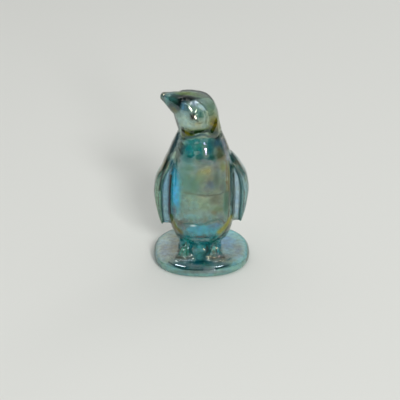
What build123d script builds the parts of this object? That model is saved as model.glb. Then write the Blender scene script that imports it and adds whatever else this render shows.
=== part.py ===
from build123d import *
from math import atan2, cos, degrees, radians, sin
import os

# A small standing penguin pressed from one gather of clear blue-green glass.
# It looks over its right shoulder with its beak raised, and stands on a round pad.
# The glass is kept as named regions that meet face to face, with no gap and no overlap.
# The penguin faces -Y, up is +Z, and left and right are its own. Sizes are millimetres.

# Pad under the feet, with both edges rounded by a share of its thickness
pad_radius = 26.2
pad_thickness = 7.0
pad_top_round_share = 0.64
pad_bottom_round_share = 0.32

# Torso, from its rounded underside to the neck
torso_underside_height = 11.4
torso_height = 63.1
torso_width = 35.2
torso_depth = 31.4
torso_setback = 2.4
neck_width = 22.2
neck_depth = 20.8

# Head, from the neck to the crown
head_height = 20.5
head_width = 22.8
head_depth = 22.0
head_lean = 6.0

# Beak, from its root inside the head to its rounded tip
beak_root_width = 12.4
beak_root_depth = 13.2
beak_root_reach = 9.0
beak_root_share = 0.66
beak_tip_reach = 19.6
beak_rise = 5.7
beak_turn = 12.0

# Eyes, low domes on each side of the head
eye_radius = 2.6
eye_proud = 0.5
eye_spread = 81.0

# Flippers, thick blades held out from the torso, each joined to it by a web.
# The tips stand above the torso's underside, and the shoulders lie below the neck.
flipper_tip_rise = 11.6
shoulder_drop = 10.5
flipper_thickness = 4.3
flipper_depth = 13.0
flipper_stagger = 1.6
flipper_tip_round = 0.8
web_width = 3.0
web_thickness = 6.0
web_advance = 0.2

# Post of glass between the pad and the torso, and the tail that runs down the back to the pad
post_radius = 8.6
post_flare = 2.4
tail_height = 17.0
tail_reach = 11.6
tail_width = 10.0
tail_thickness = 11.0

# Feet, each with a round shank, three toes and a web between them
foot_spacing = 15.6
foot_reach = 9.8
foot_sway = 0.7
shank_radius = 3.7
shank_height = 10.6
shank_round_share = 0.75
instep_height = 4.2
toe_length = 12.0
toe_radius = 2.1
toe_splay = 25.0
toe_slope = 16.0
foot_web_share = 0.84
foot_web_drop = 0.7

# Torso rings: height, width, depth and backward lean
torso_shares = [
    (0.000, 0.250, 0.260, -0.035),
    (0.010, 0.480, 0.490, -0.032),
    (0.041, 0.705, 0.690, -0.026),
    (0.089, 0.845, 0.830, -0.016),
    (0.160, 0.940, 0.930, 0.000),
    (0.263, 0.985, 0.981, 0.016),
    (0.374, 1.000, 1.000, 0.019),
    (0.501, 0.983, 0.968, 0.016),
    (0.628, 0.945, 0.917, 0.010),
    (0.739, 0.900, 0.854, 0.000),
    (0.818, 0.846, 0.790, -0.008),
    (0.881, 0.776, 0.730, -0.010),
    (0.945, 0.690, 0.680, -0.006),
]
# Head rings: height, width, depth, lean to the side and lean forward
eye_ring_shares = (0.60, 0.970, 0.965, 0.56, 0.10)
head_shares = [
    (0.22, 0.985, 0.973, 0.21, 0.05),
    (0.42, 1.000, 1.000, 0.42, 0.08),
    eye_ring_shares,
    (0.76, 0.895, 0.880, 0.67, 0.10),
    (0.88, 0.750, 0.740, 0.78, 0.10),
    (0.955, 0.490, 0.480, 0.88, 0.10),
]
crown_forward_share = 0.10
# Beak rings: distance along the beak and size
beak_shares = [(0.00, 1.00), (0.25, 0.89), (0.50, 0.68), (0.72, 0.47), (0.90, 0.28), (0.97, 0.16)]
# Flipper rings: height, outward reach, thickness and depth
flipper_shares = [
    (0.00, 0.860, 0.80, 0.68),
    (0.12, 0.918, 0.93, 0.80),
    (0.29, 0.975, 1.00, 0.91),
    (0.46, 1.000, 1.00, 0.99),
    (0.63, 0.960, 1.00, 1.00),
    (0.78, 0.830, 1.05, 0.97),
]
# Shoulder rings, which climb higher on the right
left_shoulder_shares = [(0.90, 0.640, 1.10, 0.88), (1.00, 0.480, 1.10, 0.78)]
right_shoulder_shares = [(0.90, 0.690, 1.10, 0.90), (1.00, 0.600, 1.10, 0.82), (1.14, 0.490, 1.10, 0.70)]
# Tail rings: height, backward reach, width and thickness
tail_shares = [
    (0.00, 1.00, 0.66, 0.92),
    (0.30, 0.98, 0.82, 0.98),
    (0.65, 0.84, 0.96, 1.00),
    (1.00, 0.58, 1.00, 1.00),
]
# Toe outline: distance along the toe and radius
toe_shares = [(0.15, 0.62), (0.45, 0.92), (0.75, 0.96), (0.95, 0.52)]

os.makedirs("parts", exist_ok=True)


def finish(piece, name):
    piece.part.label = name
    export_step(piece.part, f"parts/{name}.step")


# Pad
with BuildPart() as pad:
    with BuildSketch():
        Circle(pad_radius)
    extrude(amount=pad_thickness)
    fillet(pad.edges().sort_by(Axis.Z)[-1], pad_top_round_share * pad_thickness)
    fillet(pad.edges().sort_by(Axis.Z)[0], pad_bottom_round_share * pad_thickness)
finish(pad, "pad")

# Torso
neck_centre = Vector(0, -torso_setback, torso_underside_height + torso_height)
with BuildPart() as torso:
    for rise, wide, deep, back in torso_shares:
        ring_y = back * torso_depth - torso_setback
        with BuildSketch(Plane((0, ring_y, torso_underside_height + rise * torso_height))):
            Ellipse(wide * torso_width / 2, deep * torso_depth / 2)
    with BuildSketch(Plane(neck_centre)):
        Ellipse(neck_width / 2, neck_depth / 2)
    loft()
finish(torso, "torso")

# Head, whose rings lean towards the beak as they climb to the crown
head_rings = [
    (
        neck_centre + Vector(-lean * head_lean, -forward * head_lean, rise * head_height),
        wide * head_width / 2,
        deep * head_depth / 2,
    )
    for rise, wide, deep, lean, forward in head_shares
]
crown = neck_centre + Vector(-head_lean, -crown_forward_share * head_lean, head_height)
with BuildPart() as head:
    with BuildSketch(Plane(neck_centre)):
        Ellipse(neck_width / 2, neck_depth / 2)
    for centre, half_width, half_depth in head_rings:
        with BuildSketch(Plane(centre)):
            Ellipse(half_width, half_depth)
    loft(sections=[*head.pending_faces, Vertex(*crown)])
finish(head, "head")

# Beak
beak_length = beak_tip_reach - beak_root_reach
beak_heading = sin(radians(beak_turn))
beak_root = neck_centre + Vector(
    -beak_root_reach,
    -beak_root_reach * beak_heading,
    beak_root_share * head_height,
)
beak_run = Vector(-beak_length, -beak_length * beak_heading, beak_rise)
beak_side = beak_run.cross(Vector(0, 0, 1))
with BuildPart() as beak:
    for along, size in beak_shares:
        with BuildSketch(Plane(beak_root + beak_run * along, x_dir=beak_side, z_dir=beak_run)):
            Ellipse(size * beak_root_width / 2, size * beak_root_depth / 2)
    loft(sections=[*beak.pending_faces, Vertex(*(beak_root + beak_run))])
    add(head.part, mode=Mode.SUBTRACT)
finish(beak, "beak")

# Eyes, on the head's eye ring, as far round from the beak on one side as on the other
eye_centre, eye_half_width, eye_half_depth = head_rings[head_shares.index(eye_ring_shares)]
beak_angle = degrees(atan2(beak_run.Y, beak_run.X))
for name, turn in (("left_eye", eye_spread), ("right_eye", -eye_spread)):
    angle = radians(beak_angle + turn)
    on_head = eye_centre + Vector(eye_half_width * cos(angle), eye_half_depth * sin(angle))
    inward = Vector(-cos(angle), -sin(angle)) * (eye_radius - eye_proud)
    with BuildPart() as eye:
        with Locations(on_head + inward):
            Sphere(eye_radius)
        add(head.part, mode=Mode.SUBTRACT)
    finish(eye, name)

# Flippers and their webs
flipper_reach = torso_width / 2 + web_width + flipper_thickness
flipper_height = torso_height - flipper_tip_rise - shoulder_drop
flipper_tip_height = torso_underside_height + flipper_tip_rise
flippers = (("left", 1, left_shoulder_shares), ("right", -1, right_shoulder_shares))
for name, side, shoulder_shares in flippers:
    blade_y = side * flipper_stagger - torso_setback
    middle_line = []
    with BuildPart() as flipper:
        for rise, reach, thick, deep in flipper_shares + shoulder_shares:
            thickness = thick * flipper_thickness
            centre = Vector(
                side * (reach * flipper_reach - thickness / 2),
                blade_y,
                flipper_tip_height + rise * flipper_height,
            )
            middle_line.append((centre.X, centre.Z))
            with BuildSketch(Plane(centre)):
                SlotOverall(deep * flipper_depth, thickness, rotation=90)
        loft()
        fillet(flipper.faces().sort_by(Axis.Z)[0].edges(), flipper_tip_round)
        add(torso.part, mode=Mode.SUBTRACT)
    finish(flipper, f"{name}_flipper")

    with BuildPart() as web:
        with BuildSketch(Plane.XZ.offset(web_advance - blade_y)):
            with BuildLine():
                outer = Spline(middle_line)
                Polyline(outer @ 1, (0, (outer @ 1).Y), (0, flipper_tip_height), outer @ 0)
            make_face()
        extrude(amount=web_thickness / 2, both=True)
        add(torso.part, mode=Mode.SUBTRACT)
        add(flipper.part, mode=Mode.SUBTRACT)
    finish(web, f"{name}_web")

# Post between the pad and the torso, flared where it meets the pad
post_top_height = torso_underside_height + post_flare
with BuildPart() as post:
    with BuildSketch(Plane.XZ):
        with BuildLine():
            flare = CenterArc(
                (post_radius + post_flare, pad_thickness + post_flare), post_flare, 180, 90
            )
            Polyline(
                flare @ 1,
                (0, pad_thickness),
                (0, post_top_height),
                (post_radius, post_top_height),
                flare @ 0,
            )
        make_face()
    revolve(axis=Axis.Z)
    add(torso.part, mode=Mode.SUBTRACT)
finish(post, "post")

# Tail
with BuildPart() as tail:
    for rise, reach, wide, thick in tail_shares:
        with BuildSketch(Plane((0, reach * tail_reach, pad_thickness + rise * tail_height))):
            Ellipse(wide * tail_width / 2, thick * tail_thickness / 2)
    loft()
    add(torso.part, mode=Mode.SUBTRACT)
    add(post.part, mode=Mode.SUBTRACT)
finish(tail, "tail")

# Feet, whose toes and web slope down from the instep
sole = (0, -sin(radians(toe_slope)), cos(radians(toe_slope)))
for name, side in (("left", 1), ("right", -1)):
    ankle = Vector(side * foot_spacing / 2 - foot_sway, -foot_reach, pad_thickness)
    instep = ankle + Vector(0, 0, instep_height)
    with BuildPart() as foot:
        with BuildSketch(Plane(ankle)):
            Circle(shank_radius)
        extrude(amount=shank_height)
        fillet(foot.edges().sort_by(Axis.Z)[-1], shank_round_share * shank_radius)
        with BuildSketch(Plane(instep - Vector(0, 0, foot_web_drop), x_dir=(1, 0, 0), z_dir=sole)):
            with BuildLine():
                rim = CenterArc((0, 0), foot_web_share * toe_length, -90 - toe_splay, 2 * toe_splay)
                Polyline(rim @ 1, (0, 0), rim @ 0)
            make_face()
        extrude(amount=-instep_height)
        for splay in (-toe_splay, 0, toe_splay):
            heading = radians(splay)
            ahead = Vector(sin(heading), -cos(heading), -sin(radians(toe_slope)))
            across = Vector(cos(heading), sin(heading))
            with BuildSketch(Plane(instep, x_dir=ahead, z_dir=across)):
                with BuildLine():
                    outline = [(along * toe_length, size * toe_radius) for along, size in toe_shares]
                    top = Spline((0, 0), *outline, (toe_length, 0))
                    Line(top @ 1, top @ 0)
                make_face()
            revolve(axis=Axis(instep, ahead))
        split(bisect_by=Plane.XY.offset(pad_thickness), keep=Keep.TOP)
        add(torso.part, mode=Mode.SUBTRACT)
        add(post.part, mode=Mode.SUBTRACT)
    finish(foot, f"{name}_foot")
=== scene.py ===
"""A small pressed-glass penguin on a round pad: the looks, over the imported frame.

The ornament is one solid piece of clear blue-green glass with an iridescent film.
Each form is a surface worked out from the frame's boxes. The closed surfaces are
then melted together into one skin of glass, as they are in the real pressing.
"""

import bmesh
import bpy
import numpy as np
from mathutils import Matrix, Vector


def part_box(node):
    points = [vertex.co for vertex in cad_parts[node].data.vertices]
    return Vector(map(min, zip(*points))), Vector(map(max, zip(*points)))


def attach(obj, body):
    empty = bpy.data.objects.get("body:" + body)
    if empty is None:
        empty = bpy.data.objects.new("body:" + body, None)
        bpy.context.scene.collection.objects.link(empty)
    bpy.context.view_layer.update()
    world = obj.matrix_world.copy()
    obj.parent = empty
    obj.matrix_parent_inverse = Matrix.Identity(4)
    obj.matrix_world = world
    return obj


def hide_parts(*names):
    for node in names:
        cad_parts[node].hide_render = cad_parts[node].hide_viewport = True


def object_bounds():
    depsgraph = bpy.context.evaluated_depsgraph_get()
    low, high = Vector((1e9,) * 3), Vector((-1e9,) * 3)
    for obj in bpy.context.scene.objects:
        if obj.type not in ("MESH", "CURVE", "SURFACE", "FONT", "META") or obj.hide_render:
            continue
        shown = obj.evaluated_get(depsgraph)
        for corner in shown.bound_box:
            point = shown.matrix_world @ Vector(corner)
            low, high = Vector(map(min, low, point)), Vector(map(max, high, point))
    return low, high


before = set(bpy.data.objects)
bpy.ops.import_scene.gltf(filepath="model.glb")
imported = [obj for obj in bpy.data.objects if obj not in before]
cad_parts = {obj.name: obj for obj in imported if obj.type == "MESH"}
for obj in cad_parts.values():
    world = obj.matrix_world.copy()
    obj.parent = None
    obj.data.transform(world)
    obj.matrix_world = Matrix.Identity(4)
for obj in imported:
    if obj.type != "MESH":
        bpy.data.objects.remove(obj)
cad_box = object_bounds()

MM = 0.001


def add_object(name, data):
    """A new object, linked to the scene."""
    thing = bpy.data.objects.new(name, data)
    bpy.context.collection.objects.link(thing)
    return thing


# The camera
CAMERA_ELEVATION = 25.2
CAMERA_DISTANCE = 480 * MM
CAMERA_TARGET = np.array([-0.75, 0.0, 33.2]) * MM
CAMERA_LENS = 81.1
CAMERA_NEAR = 10 * MM
CAMERA_FAR = 50.0
SENSOR_WIDTH = 36.0


def add_camera():
    """The photograph's view: straight at the chest, looking down at the pad."""
    rise = np.radians(CAMERA_ELEVATION)
    eye = CAMERA_TARGET + CAMERA_DISTANCE * np.array([0.0, -np.cos(rise), np.sin(rise)])
    data = bpy.data.cameras.new("camera")
    data.lens = CAMERA_LENS
    data.sensor_width = SENSOR_WIDTH
    data.clip_start = CAMERA_NEAR
    data.clip_end = CAMERA_FAR
    camera = add_object("camera", data)
    camera.location = eye
    camera.rotation_euler = (np.pi / 2 - rise, 0.0, 0.0)
    bpy.context.scene.camera = camera


# Working surfaces
def through(knots, values, t):
    """Smooth curve through (knots, values), read at t.

    Between two knots it is a cubic whose end slopes are the harmonic mean of the
    slopes on either side, so it never swings past the values it goes through.
    """
    knots, values = np.asarray(knots, float), np.asarray(values, float)
    step = np.diff(knots)
    slope = np.diff(values) / step
    inner = slope[:-1] * slope[1:]
    mean = 2 * inner / np.where(inner > 0, slope[:-1] + slope[1:], 1.0)
    ends = np.concatenate([slope[:1], np.where(inner > 0, mean, 0.0), slope[-1:]])
    i = np.clip(np.searchsorted(knots, t, side="right") - 1, 0, len(step) - 1)
    u = (t - knots[i]) / step[i]
    bow = step[i] * u * (1 - u)
    return (
        values[i] * (1 + 2 * u) * (1 - u) ** 2
        + values[i + 1] * u**2 * (3 - 2 * u)
        + bow * ((1 - u) * ends[i] - u * ends[i + 1])
    )


def curves(shares, t):
    """A smooth curve through each column of shares after the first, read at t."""
    shares = np.array(shares)
    return [through(shares[:, 0], column, t) for column in shares.T[1:]]


def soft_step(low, high, value):
    """0 below low, 1 above high, and a smooth S between them."""
    u = np.clip((value - low) / (high - low), 0.0, 1.0)
    return u * u * (3 - 2 * u)


def soft_spot(distance):
    """1 at distance 0, falling like a bell curve to almost 0 at distance 2."""
    return np.exp(-(distance**2))


def turn(count):
    """Angles once round, without the repeated last one."""
    return np.linspace(0.0, 2 * np.pi, count, endpoint=False)


def fuller(wave, power):
    """A sine or cosine raised to a power, with its sign kept. Less than 1 fills out the corners."""
    return np.sign(wave) * np.abs(wave) ** power


def arc(reach, height, wide, tall, count, start=0.0, end=np.pi / 2):
    """Points along an ellipse about (reach, height), from one angle to another."""
    angle = np.linspace(start, end, count)
    return np.stack([reach + wide * np.cos(angle), height + tall * np.sin(angle)], -1)


def skin(rows, end=None):
    """Vertices and faces of a closed surface: rows of points, each row a ring.

    Every ring is joined to the next one by a belt of quads. The first ring is closed by a
    fan to its own middle, and the last one by a fan to the point end, or to its own middle.
    """
    count, around = rows.shape[:2]
    end = rows[-1].mean(0) if end is None else end
    points = np.vstack([rows.reshape(-1, 3), rows[0].mean(0), end])
    i = np.arange(around)
    j = (i + 1) % around
    belt = np.arange(count - 1)[:, None] * around
    quads = np.stack([belt + i, belt + j, belt + around + j, belt + around + i], -1).reshape(-1, 4)
    last = (count - 1) * around
    first_fan = np.stack([j, i, np.full(around, count * around)], -1)
    last_fan = np.stack([last + i, last + j, np.full(around, count * around + 1)], -1)
    return points, [*quads.tolist(), *first_fan.tolist(), *last_fan.tolist()]


def mesh_of(name, surfaces):
    """One mesh of several closed surfaces."""
    points, faces, base = [], [], 0
    for surface_points, surface_faces in surfaces:
        points.append(surface_points)
        faces.extend([[base + corner for corner in face] for face in surface_faces])
        base += len(surface_points)
    mesh = bpy.data.meshes.new(name)
    mesh.from_pydata(np.vstack(points), [], faces)
    mesh.validate()
    return mesh


# The boxes of the frame
torso_low, torso_high = np.array(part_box("torso"))
flipper_low, flipper_high = np.array(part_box("left_flipper"))
torso_size = torso_high - torso_low
neck_height = torso_high[2]
crown_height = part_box("head")[1][2]
pad_radius, _, pad_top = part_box("pad")[1]

# Torso and head
TORSO_SETBACK = 2.4 * MM
# Torso rings, as shares of the torso: height, width, depth, backward lean and lean to the side
TORSO_SHARES = np.array([
    (0.000, 0.000, 0.000, -0.035, 0.000),
    (0.010, 0.480, 0.490, -0.032, 0.000),
    (0.041, 0.705, 0.690, -0.026, 0.000),
    (0.089, 0.845, 0.830, -0.016, 0.000),
    (0.160, 0.940, 0.930, 0.000, 0.000),
    (0.263, 0.985, 0.981, 0.016, 0.000),
    (0.374, 1.000, 1.000, 0.019, 0.000),
    (0.501, 0.983, 0.968, 0.016, 0.000),
    (0.628, 0.945, 0.917, 0.010, 0.000),
    (0.739, 0.900, 0.854, 0.000, 0.000),
    (0.818, 0.846, 0.790, -0.008, 0.006),
    (0.881, 0.776, 0.730, -0.010, 0.012),
    (0.945, 0.690, 0.680, -0.006, 0.018),
    (1.000, 0.631, 0.662, 0.000, 0.025),
])
# Head rings, as shares of the head's sizes: height, width, depth, lean forward and to the side
HEAD_WIDTH = 22.8 * MM
HEAD_DEPTH = 22.0 * MM
HEAD_LEAN = 6.0 * MM
HEAD_SHARES = np.array([
    (0.22, 0.985, 0.973, 0.05, 0.32),
    (0.42, 1.000, 1.000, 0.08, 0.46),
    (0.60, 0.970, 0.965, 0.10, 0.57),
    (0.76, 0.895, 0.880, 0.10, 0.69),
    (0.88, 0.750, 0.740, 0.10, 0.84),
    (0.955, 0.480, 0.475, 0.10, 1.06),
    (1.000, 0.000, 0.000, 0.10, 1.20),
])
TRUNK_ROWS = 260
TRUNK_AROUND = 180
TRUNK_OPENING = 0.02


def trunk_rings():
    """Height, half width, half depth and middle of every ring, torso below head."""
    wide, deep, tall = torso_size
    torso = TORSO_SHARES * (tall, wide, deep, deep, -wide)
    head = HEAD_SHARES * (crown_height - neck_height, HEAD_WIDTH, HEAD_DEPTH, -HEAD_LEAN, -HEAD_LEAN)
    torso[:, 0] += torso_low[2]
    head[:, 0] += neck_height
    height, width, depth, back, side = np.vstack([torso, head]).T
    return height, width / 2, depth / 2, side, back - TORSO_SETBACK


def trunk():
    """Ellipses stacked from the underside to the crown.

    The squares of the half widths follow a smooth curve over the height, so both
    ends close as round domes. Heights are spaced like a cosine, close at the ends,
    and a small opening at either end is closed by a fan.
    """
    height, width, depth, side, back = trunk_rings()
    swing = np.linspace(TRUNK_OPENING, np.pi - TRUNK_OPENING, TRUNK_ROWS)
    z = height[0] + (height[-1] - height[0]) * (1 - np.cos(swing)) / 2
    half_width = np.sqrt(np.maximum(through(height, width**2, z), 0.0))[:, None]
    half_depth = np.sqrt(np.maximum(through(height, depth**2, z), 0.0))[:, None]
    angle = turn(TRUNK_AROUND)
    x = through(height, side, z)[:, None] + half_width * np.cos(angle)
    y = through(height, back, z)[:, None] + half_depth * np.sin(angle)
    return skin(np.stack([x, y, z[:, None] + 0 * x], -1))


# Beak
BEAK_ROOT_WIDTH = 12.4 * MM
BEAK_ROOT_DEPTH = 13.2 * MM
BEAK_ROOT_REACH = 9.0 * MM
BEAK_TIP_REACH = 20.3 * MM
BEAK_ROOT_SHARE = 0.66
BEAK_RISE = 6.1 * MM
BEAK_TURN = 12.0
BEAK_SHARES = [(0.0, 1.00), (0.25, 0.90), (0.50, 0.70), (0.72, 0.49), (0.88, 0.35), (0.96, 0.25), (1.0, 0.0)]


def cone_along(root, run, half_width, half_depth, shares, rows=60, around=64):
    """Ellipses along a straight run, sized by shares, to a round tip.

    The squares of the sizes follow a smooth curve, and the rings crowd towards
    the tip like a sine, so the tip closes as a dome.
    """
    shares = np.array(shares)
    ahead = run / np.linalg.norm(run)
    side = np.cross(ahead, (0.0, 0.0, 1.0))
    side /= np.linalg.norm(side)
    up = np.cross(side, ahead)
    along = np.sin(np.linspace(0.0, np.pi / 2, rows))
    size = np.sqrt(np.maximum(through(shares[:, 0], shares[:, 1] ** 2, along), 0.0))[:, None, None]
    angle = turn(around)[None, :, None]
    rings = root + along[:, None, None] * run + size * (
        half_width * np.cos(angle) * side + half_depth * np.sin(angle) * up
    )
    return skin(rings[:-1], end=root + run)


def beak():
    """A stubby cone of ellipses, from inside the head to its rounded tip."""
    heading = np.sin(np.radians(BEAK_TURN))
    length = BEAK_TIP_REACH - BEAK_ROOT_REACH
    root = np.array([
        -BEAK_ROOT_REACH,
        -TORSO_SETBACK - BEAK_ROOT_REACH * heading,
        neck_height + BEAK_ROOT_SHARE * (crown_height - neck_height),
    ])
    run = np.array([-length, -length * heading, BEAK_RISE])
    return cone_along(root, run, BEAK_ROOT_WIDTH / 2, BEAK_ROOT_DEPTH / 2, BEAK_SHARES)


# Pad
SOLE_ROUND = 2.0 * MM
PAD_WALL_TOP = 2.9 * MM
SHOULDER_REACH = 4.7 * MM
PAD_FRONT_SHARE = 0.965
PAD_SQUARENESS = 0.88
# The front of the pad has a band low down, a narrow ledge and a round shoulder above
BAND_TOP = 3.5 * MM
BAND_ROUND = 0.2 * MM
LEDGE_SETBACK = 0.6 * MM
ROUND_REACH = 4.6 * MM
# The front profile fades out between these two angles from straight ahead
FRONT_GONE = np.radians(62.0)
FRONT_WHOLE = np.radians(36.0)


def pad():
    """A profile carried round a slightly squared circle.

    The plain profile is a rounded foot, a wall and a wide shoulder shaped like a quarter
    ellipse. The front profile has a band, a narrow ledge and a rounder shoulder instead,
    and the two are blended by a soft step of the way round. The cosine and sine of the way
    round are raised to a power just under 1, which fills the corners.
    """
    foot_curve = arc(pad_radius - SOLE_ROUND, SOLE_ROUND, SOLE_ROUND, SOLE_ROUND, 24, -np.pi / 2, 0.0)
    shoulder = arc(pad_radius - SHOULDER_REACH, PAD_WALL_TOP, SHOULDER_REACH, pad_top - PAD_WALL_TOP, 24)
    band = arc(pad_radius - BAND_ROUND, BAND_TOP - BAND_ROUND, BAND_ROUND, BAND_ROUND, 8)
    ledge = np.linspace((pad_radius - 2 * BAND_ROUND, BAND_TOP), (pad_radius - LEDGE_SETBACK, BAND_TOP), 4)
    edge = arc(pad_radius - LEDGE_SETBACK - ROUND_REACH, BAND_TOP, ROUND_REACH, pad_top - BAND_TOP, 12)
    start, end = (pad_radius / 2, 0.0), (pad_radius / 2, pad_top)
    plain = np.vstack([start, foot_curve, shoulder, end])
    stepped = np.vstack([start, foot_curve, band, ledge, edge, end])

    angle = turn(360)
    front = soft_step(np.cos(FRONT_GONE), np.cos(FRONT_WHOLE), -np.sin(angle))[None, :, None]
    profile = plain[:, None] + front * (stepped - plain)[:, None]
    across = fuller(np.cos(angle), PAD_SQUARENESS)
    along = fuller(np.sin(angle), PAD_SQUARENESS) * PAD_FRONT_SHARE
    reach, height = profile[..., 0], profile[..., 1]
    return skin(np.stack([reach * across, reach * along, height], -1))


# Flippers and webs
# Flipper rings, as shares: height, outward reach, thickness and depth
FLIPPER_SHARES = [
    (0.00, 0.860, 0.34, 0.72),
    (0.12, 0.918, 0.56, 0.82),
    (0.29, 0.975, 0.80, 0.92),
    (0.46, 1.000, 0.96, 0.99),
    (0.63, 0.960, 1.00, 1.00),
    (0.78, 0.830, 1.05, 0.97),
]
LEFT_SHOULDER_SHARES = [(0.90, 0.665, 1.10, 0.88), (1.00, 0.500, 1.10, 0.78)]
RIGHT_SHOULDER_SHARES = [
    (0.90, 0.745, 1.10, 0.90),
    (1.02, 0.660, 1.10, 0.82),
    (1.16, 0.555, 1.10, 0.70),
    (1.27, 0.470, 1.10, 0.60),
]
FLIPPER_ROWS = 90
FLIPPER_THICKNESS = 4.3 * MM
FLIPPER_DEPTH = 13.0 * MM
FLIPPER_STAGGER = 1.6 * MM
SHOULDER_DROP = 10.5 * MM
WEB_THICKNESS = 6.0 * MM
WEB_ADVANCE = 0.2 * MM
BLADE_POWER = 0.72
SLAB_POWER = 0.30
blade_height = neck_height - SHOULDER_DROP - flipper_low[2]


def stack(height, middle_x, middle_y, half_width, half_depth, power=1.0, around=72):
    """Level rings one above the other, each a circle pulled to its half width and depth.

    The cosine and sine are raised to power: 1 gives an ellipse, and less gives
    fuller corners, towards a rectangle.
    """
    angle = turn(around)
    x = middle_x[:, None] + half_width[:, None] * fuller(np.cos(angle), power)
    y = middle_y[:, None] + half_depth[:, None] * fuller(np.sin(angle), power)
    return skin(np.stack([x, y, height[:, None] + 0 * x], -1))


def flipper_and_web(side, shares):
    """A blade of level rings, and the slab that fills the space behind its inner edge.

    Heights, reaches, thicknesses and depths follow smooth curves through the shares.
    """
    rise = np.linspace(0.0, shares[-1][0], FLIPPER_ROWS)
    reach, thick, deep = curves(shares, rise)
    thickness = thick * FLIPPER_THICKNESS
    middle = side * (reach * flipper_high[0] - thickness / 2)
    height = flipper_low[2] + rise * blade_height
    blade_y = np.full_like(rise, side * FLIPPER_STAGGER - TORSO_SETBACK)
    blade = stack(height, middle, blade_y, thickness / 2, deep * FLIPPER_DEPTH / 2, BLADE_POWER)
    web = stack(
        height, middle / 2, blade_y - WEB_ADVANCE, np.abs(middle) / 2,
        np.full_like(rise, WEB_THICKNESS / 2), SLAB_POWER,
    )
    return [blade, web]


# Post, tail, legs and feet
POST_RADIUS = 8.6 * MM
POST_FLARE = 2.4 * MM
TAIL_HEIGHT = 17.0 * MM
TAIL_REACH = 11.6 * MM
TAIL_WIDTH = 10.0 * MM
TAIL_THICKNESS = 11.0 * MM
TAIL_SHARES = [
    (0.00, 1.00, 0.66, 0.92),
    (0.30, 0.98, 0.82, 0.98),
    (0.65, 0.84, 0.96, 1.00),
    (1.00, 0.58, 1.00, 1.00),
]
FOOT_SPACING = 15.6 * MM
FOOT_REACH = 9.8 * MM
FOOT_SWAY = 0.7 * MM
SHANK_RADIUS = 3.7 * MM
SHANK_HEIGHT = 10.6 * MM
SHANK_FULLNESS = 6
INSTEP_HEIGHT = 3.5 * MM
TOE_LENGTH = 10.6 * MM
TOE_RADIUS = 1.7 * MM
TOE_SPLAY = 25.0
TOE_SLOPE = 16.0
TOE_SHARES = [(0.0, 0.35), (0.15, 0.62), (0.45, 0.92), (0.75, 0.96), (0.95, 0.52), (1.0, 0.0)]
FOOT_WEB_SHARE = 0.84


def post():
    """Level circles, wide at the pad and narrowing along a quarter circle to the shaft."""
    foot_reach = POST_RADIUS + POST_FLARE
    flare = arc(foot_reach, pad_top + POST_FLARE, POST_FLARE, POST_FLARE, 12, -np.pi / 2, -np.pi)
    shaft = (POST_RADIUS, torso_low[2] + 2 * POST_FLARE)
    reach, height = np.vstack([(foot_reach, pad_top / 2), flare, shaft]).T
    return stack(height, 0 * reach, 0 * reach, reach, reach, around=120)


def tail():
    """Level ellipses that lean in from the pad to the lower back."""
    rise = np.linspace(0.0, 1.0, 40)
    reach, wide, thick = curves(TAIL_SHARES, rise)
    height = pad_top + rise * TAIL_HEIGHT
    height[0] = pad_top / 2
    return stack(height, 0 * rise, reach * TAIL_REACH, wide * TAIL_WIDTH / 2, thick * TAIL_THICKNESS / 2)


def foot(side):
    """A domed shank, three fat toes that slope down from the instep, and a wedge between them."""
    ankle = np.array([side * FOOT_SPACING / 2 - FOOT_SWAY, -FOOT_REACH, pad_top])
    lift = np.sin(np.linspace(0.0, np.pi / 2, 30))
    shank_radius = SHANK_RADIUS * np.sqrt(np.clip(1 - lift**SHANK_FULLNESS, 0.0, 1.0))
    shank_height = ankle[2] + lift * SHANK_HEIGHT
    shank_height[0] = pad_top / 2
    ones = np.ones_like(lift)
    pieces = [stack(shank_height, ankle[0] * ones, ankle[1] * ones, shank_radius, shank_radius)]

    instep = ankle + np.array([0.0, 0.0, INSTEP_HEIGHT])
    slope = np.radians(TOE_SLOPE)
    for splay in np.radians([-TOE_SPLAY, 0.0, TOE_SPLAY]):
        run = TOE_LENGTH * np.array([np.sin(splay), -np.cos(splay), -np.sin(slope)])
        pieces.append(cone_along(instep, run, TOE_RADIUS, TOE_RADIUS, TOE_SHARES, rows=40, around=40))

    along = np.linspace(0.0, FOOT_WEB_SHARE, 24)[:, None]
    angle = turn(48)
    top = INSTEP_HEIGHT - along * TOE_LENGTH * np.sin(slope)
    half_width = SHANK_RADIUS / 2 + along * TOE_LENGTH * np.tan(np.radians(TOE_SPLAY))
    x = ankle[0] + half_width * np.cos(angle)
    z = ankle[2] - pad_top / 4 + (top + pad_top / 4) * (1 + np.sin(angle)) / 2
    y = ankle[1] - along * TOE_LENGTH + 0 * angle
    pieces.append(skin(np.stack([x, y, z], -1)))
    return pieces


# Glass skin
VOXEL = 0.465 * MM
EASE_SHARE = 0.5
EASE_ROUNDS = 8
# Boxes of the skin that get smaller faces: lowest and highest corners in mm
FINE_BOXES = [((-11.0, -18.0, 79.0), (3.0, -8.0, 94.0)), ((-16.0, -26.0, 4.6), (16.0, -19.0, 8.0))]


def refine(mesh):
    """Each face inside the fine boxes is split in four, and eased."""
    grid = bmesh.new()
    grid.from_mesh(mesh)
    fine = [
        edge for edge in grid.edges
        if any(
            all(low[k] * MM < corner.co[k] < high[k] * MM for corner in edge.verts for k in range(3))
            for low, high in FINE_BOXES
        )
    ]
    bmesh.ops.subdivide_edges(grid, edges=fine, cuts=1, use_grid_fill=True, smooth=1.0)
    grid.to_mesh(mesh)
    grid.free()


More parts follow.
